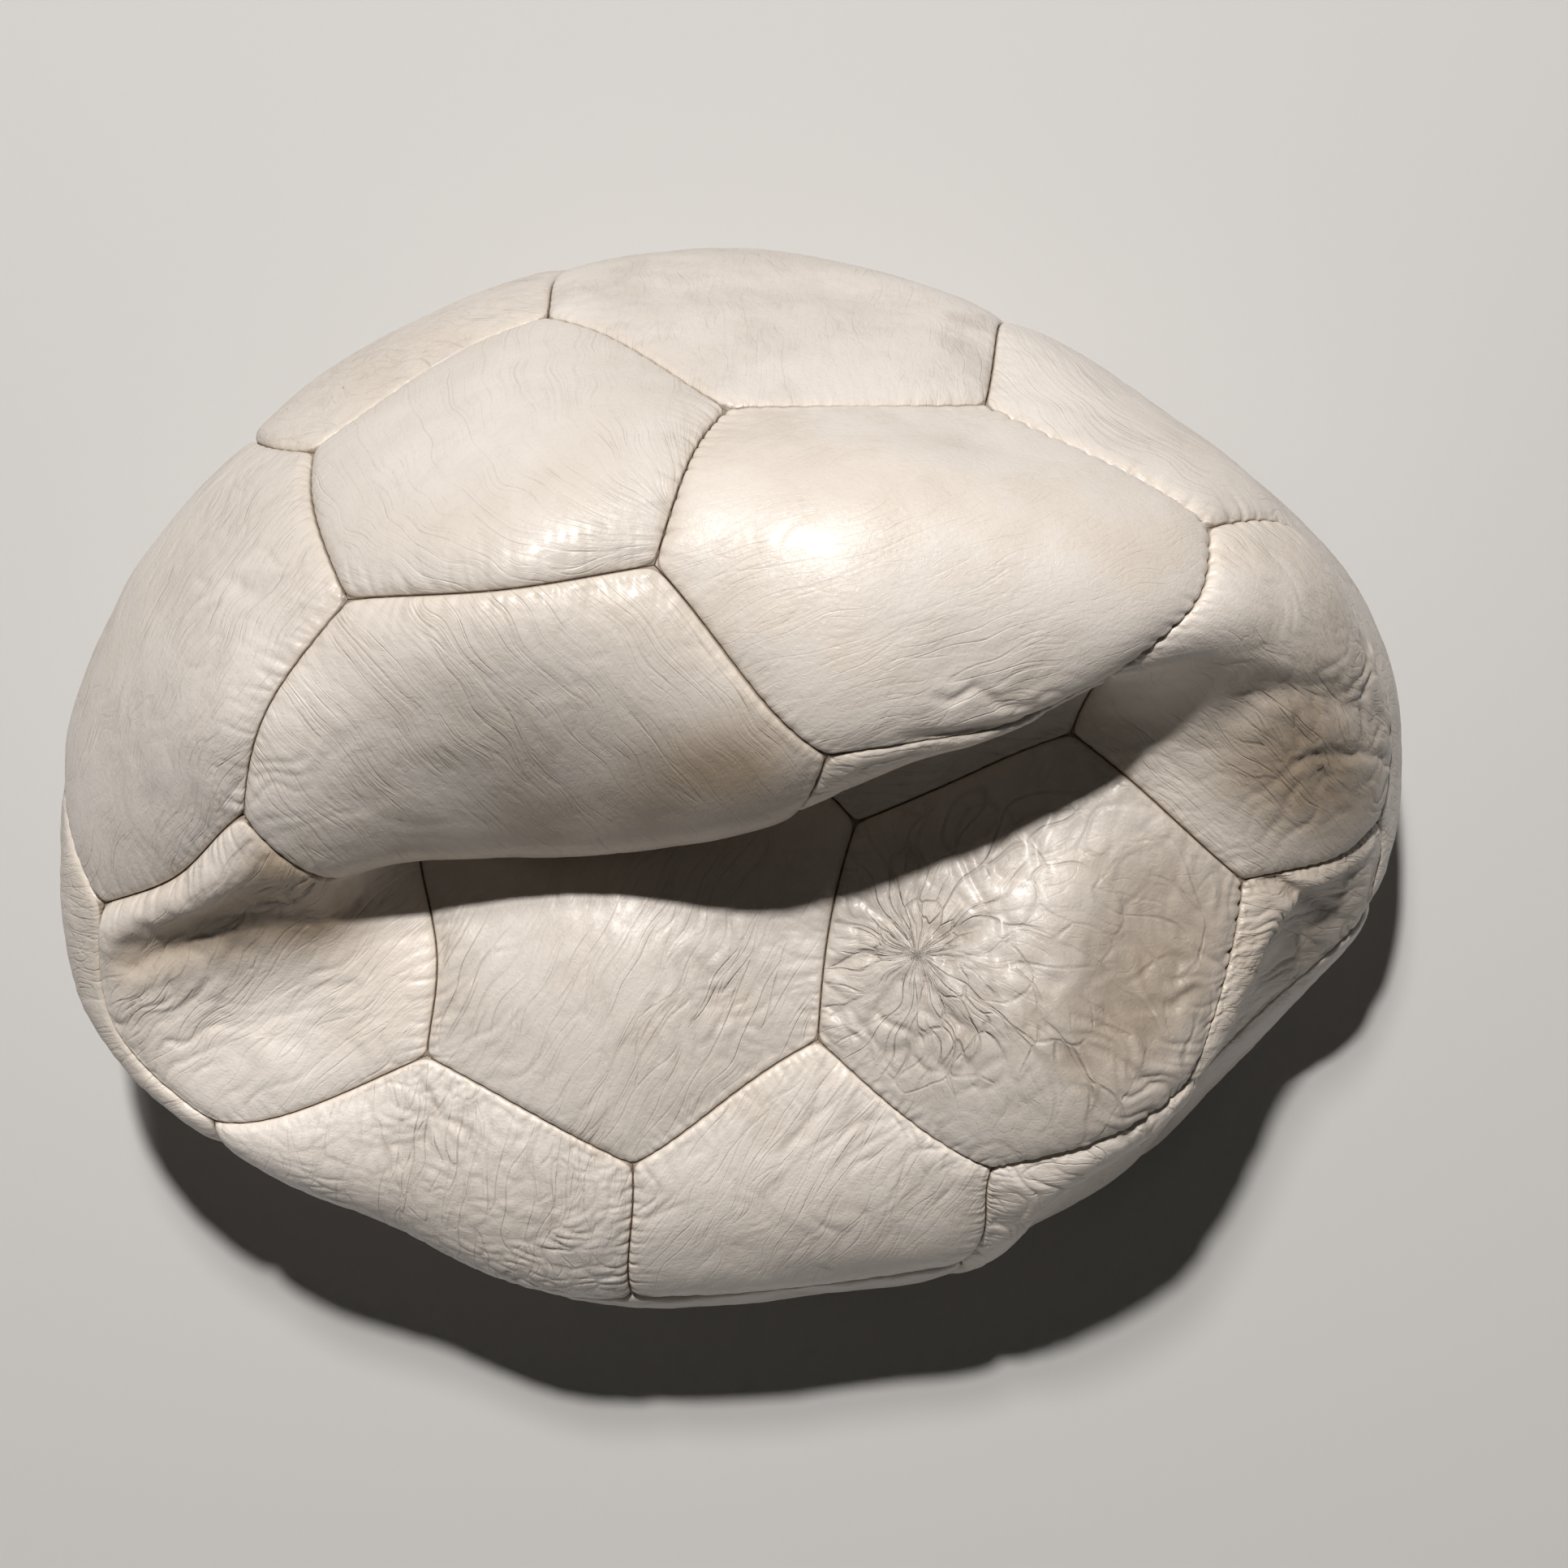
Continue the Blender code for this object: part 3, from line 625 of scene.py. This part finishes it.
def markPanel(mesh, key, flat, tips, where, soil, distance, crackle):
    # What the leather's material reads: how worn each point is, its painted shade and its panel's painted
    # lightness, and its place along the panel's own lines.
    number = sorted(centres).index(key)
    light, warm, grime = tonesAndPaintedLight.get(key, plainTone)
    hairline = hairlines.get(key, plainHairlines)
    middle = sum(tips) / len(tips)
    side = unit(tips[0] - middle)
    up = np.cross(unit(middle), side)
    same = np.ones(len(flat))
    numbers = {
        "soil": soil, "seamDistance": distance, "crackle": crackle * hairline["crack"],
        "grime": grime + spotted(key, where, smudges), "stain": spotted(key, where, paintedShades),
        # The panel's lightness is painted light and shade.
        "lightness": light * same, "warmth": warm * same, "hair": hairline["hair"] * same,
    }
    vectors = {
        "pattern": np.column_stack([(flat - middle) @ side, (flat - middle) @ up, 40.0 * number * same]),
        "flow": flowOf(hairline, where, 5.1 * number)[0] + 5.1 * number,
    }
    for name, values in numbers.items():
        mesh.attributes.new(name, "FLOAT", "POINT").data.foreach_set("value", values.astype(np.float32))
    for name, values in vectors.items():
        held = mesh.attributes.new(name, "FLOAT_VECTOR", "POINT")
        held.data.foreach_set("vector", values.astype(np.float32).ravel())


def makePanel(key, leather):
    grid = "fineGrid" if key in finePanels else "plainGrid"
    steps, share = ball[grid]
    shape, names, tips = cutPanel(key, steps, share)
    kind = "hexagon" if key in hexagons else "pentagon"
    mesh = meshFrom(shape, f"leather_{kind}_{key.lower()}")
    points = np.empty(len(mesh.vertices) * 3, np.float32)
    mesh.vertices.foreach_get("co", points)
    points = points.reshape(-1, 3).astype(float)
    middle = sum(tips) / len(tips)
    face = unit(middle)
    depth = (middle - points) @ face
    front = depth < 0.01
    flat = points + depth[:, None] * face
    flat = np.where(front[:, None], crowdToSeams(flat, tips), flat)
    directions = unit(flat)
    crushed, normals = crush(directions), outward(directions)
    where = crushed + shift
    height, soil, distance, crackle = shapeFace(key, names, flat, tips, where)
    height = np.where(front, height, np.minimum(-depth, height - ball["backClearance"]))
    placed = where + normals * height[:, None]
    placed[:, 2] = np.maximum(placed[:, 2], 0.0)
    mesh.vertices.foreach_set("co", (placed * mm).astype(np.float32).ravel())
    markPanel(mesh, key, flat, tips, where, soil, distance, crackle)
    mesh.shade_smooth()
    mesh.materials.append(leather)
    piece = bpy.data.objects.new(mesh.name, mesh)
    bpy.context.scene.collection.objects.link(piece)
    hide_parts(f"{kind}_{key.lower()}")
    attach(piece, "root")
    return piece


class Wire:
    # A socket that takes part in sums, so that shader maths reads as an expression.
    def __init__(self, finish, socket):
        self.finish, self.socket = finish, socket

    def maths(self, operation, first, second):
        return self.finish.node("ShaderNodeMath", {"operation": operation}, {0: first, 1: second})

    def __add__(self, other):
        return self.maths("ADD", self, other)

    def __radd__(self, other):
        return self.maths("ADD", other, self)

    def __sub__(self, other):
        return self.maths("SUBTRACT", self, other)

    def __rsub__(self, other):
        return self.maths("SUBTRACT", other, self)

    def __mul__(self, other):
        return self.maths("MULTIPLY", self, other)

    def __rmul__(self, other):
        return self.maths("MULTIPLY", other, self)


class Finish:
    # A material with one method that adds a node: its type, its settings, then its sockets' values or links.
    def __init__(self, name):
        self.material = bpy.data.materials.new(name)
        self.material.use_nodes = True
        self.tree = self.material.node_tree
        self.shader = self.tree.nodes["Principled BSDF"]

    def node(self, kind, settings=None, values=None, output=0):
        made = self.tree.nodes.new(kind)
        for name, value in (settings or {}).items():
            setattr(made, name, value)
        for name, value in (values or {}).items():
            self.connect(made.inputs[name], value)
        return Wire(self, made.outputs[output])

    def connect(self, socket, value):
        if isinstance(value, Wire):
            self.tree.links.new(value.socket, socket)
        else:
            socket.default_value = value

    def set(self, name, value):
        self.connect(self.shader.inputs[name], value)

    def attribute(self, name, output="Fac"):
        return self.node("ShaderNodeAttribute", {"attribute_name": name}, output=output)

    def grain(self, coordinates, scale, detail=2.0, roughness=0.5, distortion=0.0, space="3D"):
        values = {"Vector": coordinates, "Scale": scale, "Detail": detail, "Roughness": roughness}
        values["Distortion"] = distortion
        return self.node("ShaderNodeTexNoise", {"noise_dimensions": space}, values)

    def cells(self, feature, values, space="3D"):
        return self.node("ShaderNodeTexVoronoi", {"feature": feature, "voronoi_dimensions": space}, values)

    def ease(self, value, low, high, start=0.0, end=1.0):
        values = {"Value": value, "From Min": low, "From Max": high, "To Min": start, "To Max": end}
        return self.node("ShaderNodeMapRange", {"interpolation_type": "SMOOTHSTEP"}, values)

    def mix(self, share, first, second, blend="MIX"):
        settings = {"data_type": "RGBA", "blend_type": blend}
        return self.node("ShaderNodeMix", settings, {0: share, 6: first, 7: second}, 2)

    def crossing(self, value, width):
        # One along the lines where a noise crosses its middle value, falling to nothing beside them.
        away = self.node("ShaderNodeMath", {"operation": "ABSOLUTE"}, {0: value - 0.5})
        return self.ease(away, 0.0, width, 1.0, 0.0)

    def tangle(self, coordinates, scale, reach):
        # A sideways push that varies over the surface.
        values = {"Vector": coordinates, "Scale": scale, "Detail": 1.0}
        push = self.vector("SUBTRACT", self.node("ShaderNodeTexNoise", {}, values, "Color"), (0.5, 0.5, 0.5))
        return self.node("ShaderNodeVectorMath", {"operation": "SCALE"}, {0: push, "Scale": reach})

    def vector(self, operation, first, second):
        return self.node("ShaderNodeVectorMath", {"operation": operation}, {0: first, 1: second})

    def within(self, value):
        return self.node("ShaderNodeClamp", {}, {"Value": value})

    def bump(self, height, strength, distance, normal=None):
        values = {"Height": height, "Strength": strength, "Distance": distance}
        if normal:
            values["Normal"] = normal
        return self.node("ShaderNodeBump", {}, values)


leatherLook = {
    "cream": (0.77, 0.715, 0.665, 1), "shade": (0.70, 0.64, 0.58, 1), "yellowed": (0.66, 0.565, 0.44, 1),
    # Besides the leather's own colours, one brown here is painted shade, for the folds and the faces turned
    # from the light.
    "soiled": (0.27, 0.215, 0.16, 1), "paintedShadeBrown": (0.37, 0.295, 0.22, 1), "seamShadow": (0.19, 0.135, 0.09, 1),
    "roughness": 0.45, "coat": 0.14, "coatRoughness": 0.22,
    "broadScale": 28, "blotchScale": 95,                                        # to a metre
    "fineScale": 1.1, "poreScale": 0.75, "cellScale": 1.3, "scaleScale": 0.62,  # to a millimetre
    "hairScales": (0.40, 0.95), "crackScale": 0.25, "netScale": 0.24,           # the same
    "grainDepth": 0.00012, "scaleDepth": 0.0004, "hairDepth": 0.00016, "crackDepth": 0.00035,
}


def leatherMarks(finish):
    # The noises, hairlines and cracks that the leather's colour and its relief share.
    look = leatherLook
    place = finish.node("ShaderNodeTexCoord", output="Object")
    flow = finish.attribute("flow", "Vector")
    hair, crackle = finish.attribute("hair"), finish.attribute("crackle")
    broad = finish.grain(place, look["broadScale"], 3, 0.6)
    blotch = finish.grain(place, look["blotchScale"], 4, 0.6)
    fine = finish.grain(finish.attribute("pattern", "Vector"), look["fineScale"], 3, 0.62, space="2D")
    # Hairlines lie where two stretched noises cross their middle value.
    longer, shorter = (finish.grain(flow, scale, 1, 0.5) for scale in look["hairScales"])
    hairs = finish.crossing(longer, 0.035) + finish.crossing(shorter, 0.04) * 0.5
    hairs = hairs * hair * finish.ease(blotch, 0.38, 0.62, 0.25, 1.0)
    # Cracks follow the same lines further apart, joined by a net of cell borders.
    bent = finish.vector("MULTIPLY", flow, (1.0, 1.0, 2.6))
    bent = finish.vector("ADD", bent, finish.tangle(flow, 0.3, 2.0))
    net = finish.cells("DISTANCE_TO_EDGE", {"Vector": bent, "Scale": look["netScale"]})
    cracks = finish.crossing(finish.grain(flow, look["crackScale"], 1, 0.5), 0.025)
    cracks = cracks + finish.ease(net, 0.0, 0.05, 0.9, 0.0) * finish.ease(blotch, 0.40, 0.55)
    cracks = finish.within(cracks) * crackle * finish.ease(broad, 0.32, 0.56, 0.5, 1.0)
    # Soft scales lie between the cracks.
    scales = finish.cells("F1", {"Vector": bent, "Scale": look["scaleScale"]})
    scales = finish.ease(scales, 0.0, 0.95, 0.0, 0.6) * (hair * 0.35 + crackle)
    return broad, blotch, fine, hairs, cracks, scales


def colourLeather(finish, broad, blotch, fine, hairs, cracks):
    look = leatherLook
    seam = finish.attribute("seamDistance")
    # Grime lies in blotches, in the wrinkles and along the seams.
    patches = finish.attribute("grime") * finish.ease(blotch, 0.44, 0.70) * 0.30
    lines = finish.attribute("soil") * finish.ease(fine, 0.3, 0.6, 0.35, 0.8) * 0.6
    beside = finish.ease(seam, 0.0, 2.4, 0.30, 0.0) * finish.ease(fine, 0.3, 0.7, 0.4, 1.0)
    # Painted shade: brown darkening in the folds and on the faces turned from the light.
    stain = finish.attribute("stain") * finish.ease(broad, 0.2, 0.8, 0.75, 1.0)
    paintedBrightness = finish.attribute("lightness") + 1.0
    # Each layer lies over the ones before it, and the panel's lightness, which is painted light and shade,
    # scales them all.
    layers = [
        (finish.ease(broad, 0.35, 0.65), "shade"),
        (finish.attribute("warmth") * finish.ease(blotch, 0.3, 0.7, 0.1, 0.55), "yellowed"),
        # The next layer is painted shade in the folds and on the faces turned from the light.
        (finish.within(stain), "paintedShadeBrown"),
        (finish.within(patches + hairs * 0.05 + cracks * 0.22), "soiled"),
        (finish.within(lines), "soiled"),
        (beside, "yellowed"),
        (finish.ease(seam, 0.0, 0.3, 0.75, 0.0), "seamShadow"),
    ]
    colour = look["cream"]
    for amount, name in layers:
        colour = finish.mix(amount, colour, look[name])
    shading = finish.node("ShaderNodeCombineColor", {}, {0: paintedBrightness, 1: paintedBrightness, 2: paintedBrightness})
    finish.set("Base Color", finish.mix(1.0, colour, shading, "MULTIPLY"))
    finish.set("Roughness", look["roughness"] + 0.18 * (fine - 0.5) + 0.2 * finish.within(lines + patches))
    finish.set("Coat Weight", look["coat"])
    finish.set("Coat Roughness", look["coatRoughness"])


def embossLeather(finish, fine, hairs, cracks, scales):
    look = leatherLook
    pattern = finish.attribute("pattern", "Vector")
    values = {"Vector": pattern, "Scale": look["cellScale"], "Smoothness": 0.4}
    cells = finish.cells("SMOOTH_F1", values, "2D")
    pores = finish.grain(pattern, look["poreScale"], 3, 0.6, 0.6, space="2D")
    height = cells * 0.35 + fine * 0.35 + finish.ease(pores, 0.46, 0.52) * 0.3
    grained = finish.bump(height, 0.55, look["grainDepth"])
    scaled = finish.bump(1.0 - scales, 0.7, look["scaleDepth"], grained)
    haired = finish.bump(1.0 - hairs, 0.6, look["hairDepth"], scaled)
    finish.set("Normal", finish.bump(1.0 - cracks, 0.8, look["crackDepth"], haired))


def makeLeather():
    finish = Finish("aged_white_leather")
    broad, blotch, fine, hairs, cracks, scales = leatherMarks(finish)
    colourLeather(finish, broad, blotch, fine, hairs, cracks)
    embossLeather(finish, fine, hairs, cracks, scales)
    return finish.material


threadLook = {
    "waxed": (0.16, 0.11, 0.07, 1), "dark": (0.05, 0.035, 0.025, 1), "roughness": 0.6,
    "length": 1.5, "thickness": 0.36, "depth": 0.25,                             # of one stitch
    "strand": 0.26, "strandDepth": 0.8, "strandSteps": 12, "strandShare": 0.985,  # of a seam's length
}


def makeThreadFinish():
    finish = Finish("waxed_thread")
    place = finish.node("ShaderNodeTexCoord", output="Object")
    worn = finish.grain(place, 400, 3)
    values = {"Vector": place, "Scale": 900.0, "Distortion": 1.0}
    twist = finish.node("ShaderNodeTexWave", {"bands_direction": "DIAGONAL"}, values)
    amount = finish.ease(worn, 0.35, 0.65)
    finish.set("Base Color", finish.mix(amount, threadLook["dark"], threadLook["waxed"]))
    finish.set("Roughness", threadLook["roughness"] + 0.2 * (worn - 0.5))
    finish.set("Normal", finish.bump(twist, 0.4, 0.0001))
    return finish.material


rubberLook = {"black": (0.030, 0.028, 0.026, 1), "chalky": (0.085, 0.08, 0.072, 1), "roughness": 0.55}


def makeRubber():
    finish = Finish("old_black_rubber")
    place = finish.node("ShaderNodeTexCoord", output="Object")
    chalk = finish.grain(place, 120, 4, 0.6)
    fine = finish.grain(place, 900, 3)
    amount = finish.ease(chalk, 0.4, 0.7)
    finish.set("Base Color", finish.mix(amount, rubberLook["black"], rubberLook["chalky"]))
    finish.set("Roughness", rubberLook["roughness"] + 0.25 * (chalk - 0.5))
    finish.set("Normal", finish.bump(fine, 0.3, 0.0002))
    return finish.material


def sewStitches(shape, start, end, drop):
    # One stitch after another, each lying along the crushed seam.
    look = threadLook
    way = unit(end - start)
    count = int(round(np.linalg.norm(end - start) / edges["stitchSpacing"]))
    middles = np.array([start + (end - start) * (step + 0.5) / count for step in range(count)])
    spots, normals = crush(unit(middles)) + shift, outward(unit(middles))
    ahead = crush(unit(middles + way * 0.5)) - crush(unit(middles - way * 0.5))
    for spot, normal, forward in zip(spots, normals, ahead):
        stitch = bmesh.ops.create_uvsphere(shape, u_segments=6, v_segments=4, radius=0.5)["verts"]
        up, along = Vector(normal), Vector(forward).normalized()
        side = up.cross(along).normalized()
        turn = Matrix((side, side.cross(along) * -1, along)).transposed().to_4x4()
        size = Matrix.Diagonal((look["thickness"], look["thickness"], look["length"], 1))
        place = Matrix.Translation(Vector(spot - normal * (drop + look["depth"])))
        bmesh.ops.transform(shape, matrix=place @ turn @ size, verts=stitch)


def layStrand(shape, start, end, drop):
    # A flat strand that runs along the seam's bottom, under the stitches.
    look = threadLook
    way = unit(end - start)
    bmesh.ops.create_cube(shape, size=1.0)
    rails = [edge for edge in shape.edges if abs(edge.verts[0].co.x - edge.verts[1].co.x) > 0.5]
    bmesh.ops.subdivide_edges(shape, edges=rails, cuts=look["strandSteps"] - 1)
    local = np.array([point.co for point in shape.verts])
    flat = start + (end - start) * (local[:, :1] * look["strandShare"] + 0.5)
    normals = outward(unit(flat))
    ahead = unit(crush(unit(flat + way * 0.5)) - crush(unit(flat - way * 0.5)))
    sideways = np.cross(normals, ahead) * local[:, 1:2] * look["strand"]
    down = normals * (drop + look["strandDepth"] - local[:, 2:] * 0.5)
    for point, target in zip(shape.verts, crush(unit(flat)) + shift + sideways - down):
        point.co = target


def makeThread(waxed):
    mesh = bpy.data.meshes.new("seam_stitches")
    whole = bmesh.new()
    seams = [(a, b) for a in corners for b in corners if a < b and len(set(a) & set(b)) == 2]
    for first, second in seams:
        start, end = corners[first] * ball["radius"], corners[second] * ball["radius"]
        deeper = deepSeams.get(seamKey(*set(first) & set(second)), 1.0)
        for lay in (sewStitches, layStrand):
            run = bmesh.new()
            lay(run, start, end, edges["rollDrop"] + edges["puffDrop"] * deeper)
            run.to_mesh(mesh)
            run.free()
            whole.from_mesh(mesh)
    bmesh.ops.scale(whole, verts=whole.verts, vec=(mm, mm, mm))
    bmesh.ops.recalc_face_normals(whole, faces=whole.faces)
    whole.to_mesh(mesh)
    whole.free()
    mesh.shade_smooth()
    mesh.materials.append(waxed)
    piece = bpy.data.objects.new("seam_stitches", mesh)
    bpy.context.scene.collection.objects.link(piece)
    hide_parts("stitching_thread")
    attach(piece, "root")
    return piece


def cutValveHole(piece):
    # The valve's mouth shows through a round hole in the panel at the back.
    centre = centres[valveMouth["panel"]][None]
    middle, normal = crush(centre)[0] + shift, Vector(outward(centre)[0])
    radius, depth = valveMouth["radius"] * mm, valveMouth["depth"] * mm
    shape = bmesh.new()
    bmesh.ops.create_cone(shape, cap_ends=True, segments=48, radius1=radius, radius2=radius, depth=depth)
    turn = Vector((0, 0, 1)).rotation_difference(normal).to_matrix().to_4x4()
    shape.transform(Matrix.Translation(Vector(middle * mm)) @ turn)
    punch = bpy.data.objects.new("punch", meshFrom(shape, "punch"))
    bpy.context.scene.collection.objects.link(punch)
    hole = piece.modifiers.new("valve hole", "BOOLEAN")
    hole.operation, hole.solver, hole.object = "DIFFERENCE", "EXACT", punch
    bpy.context.view_layer.objects.active = piece
    with bpy.context.temp_override(object=piece, active_object=piece, selected_objects=[piece]):
        bpy.ops.object.modifier_apply(modifier=hole.name)
    bpy.data.objects.remove(punch, do_unlink=True)
    piece.data.set_sharp_from_angle(angle=math.radians(valveMouth["sharpAngle"]))


camera = {"height": 0.675, "beside": (0.0077, -0.0018), "lens": 82.7, "sensor": 36.0, "roll": -9.5}


def makeCamera():
    lens = bpy.data.cameras.new("camera")
    lens.lens, lens.sensor_width = camera["lens"], camera["sensor"]
    lens.dof.use_dof = False
    holder = bpy.data.objects.new("camera", lens)
    besideX, besideY = camera["beside"]
    holder.location = (besideX + shift[0] * mm, besideY + shift[1] * mm, camera["height"])
    holder.rotation_euler = (0, 0, math.radians(camera["roll"]))
    bpy.context.scene.collection.objects.link(holder)
    bpy.context.scene.camera = holder


studio = {
    "floor": (0.60, 0.595, 0.585, 1), "floorShade": (0.54, 0.535, 0.52, 1), "floorSize": 8.0,
    "world": (1.0, 0.98, 0.95, 1), "worldStrength": 0.012, "aimHeight": 0.06,
    "lamps": [
        # azimuth from +X, elevation, distance in metres, size, watts, colour
        (91, 65, 1.4, 0.07, 16.4, (1.0, 0.97, 0.94)),
        (92, 60, 1.5, 0.14, 6.4, (1.0, 0.97, 0.94)),
        (265, 18, 1.6, 1.2, 0.9, (1.0, 0.97, 0.94)),
    ],
}


def makeStudio():
    shape = bmesh.new()
    bmesh.ops.create_grid(shape, x_segments=2, y_segments=2, size=studio["floorSize"])
    mesh = meshFrom(shape, "floor")
    finish = Finish("pale_floor")
    place = finish.node("ShaderNodeTexCoord", output="Object")
    amount = finish.grain(place, 6, 3) * 0.15
    finish.set("Base Color", finish.mix(amount, studio["floor"], studio["floorShade"]))
    finish.set("Roughness", 0.85)
    mesh.materials.append(finish.material)
    floor = bpy.data.objects.new("floor", mesh)
    bpy.context.scene.collection.objects.link(floor)
    for number, (azimuth, elevation, distance, size, watts, colour) in enumerate(studio["lamps"]):
        lamp = bpy.data.lights.new(f"lamp_{number}", "AREA")
        lamp.shape, lamp.size, lamp.energy, lamp.color = "DISK", size, watts, colour
        holder = bpy.data.objects.new(lamp.name, lamp)
        turn, rise = math.radians(azimuth), math.radians(elevation)
        aim = Vector((math.cos(turn) * math.cos(rise), math.sin(turn) * math.cos(rise), math.sin(rise)))
        holder.location = Vector((0, 0, studio["aimHeight"])) + aim * distance
        holder.rotation_euler = aim.to_track_quat("Z", "Y").to_euler()
        bpy.context.scene.collection.objects.link(holder)
    world = bpy.data.worlds.new("studio") if not bpy.context.scene.world else bpy.context.scene.world
    bpy.context.scene.world = world
    world.use_nodes = True
    backdrop = world.node_tree.nodes["Background"]
    backdrop.inputs["Color"].default_value = studio["world"]
    backdrop.inputs["Strength"].default_value = studio["worldStrength"]


bpy.context.scene.view_settings.view_transform = "Standard"
makeCamera()
makeStudio()
leather = makeLeather()
for key in centres:
    panel = makePanel(key, leather)
    if key == valveMouth["panel"]:
        cutValveHole(panel)
print("panels made")
stitches = makeThread(makeThreadFinish())
print("stitches made", len(stitches.data.polygons))
rubber = makeRubber()
for name in ("bladder", "valve"):
    node = frame["nodes"][name]
    for slot in node.material_slots:
        slot.material = rubber
print("rubber parts finished")
total = 0
for piece in bpy.data.objects:
    if piece.type == "MESH" and not piece.name.startswith("floor") and not piece.hide_render:
        total += sum(len(face.vertices) - 2 for face in piece.data.polygons)
print("triangles in all", total)
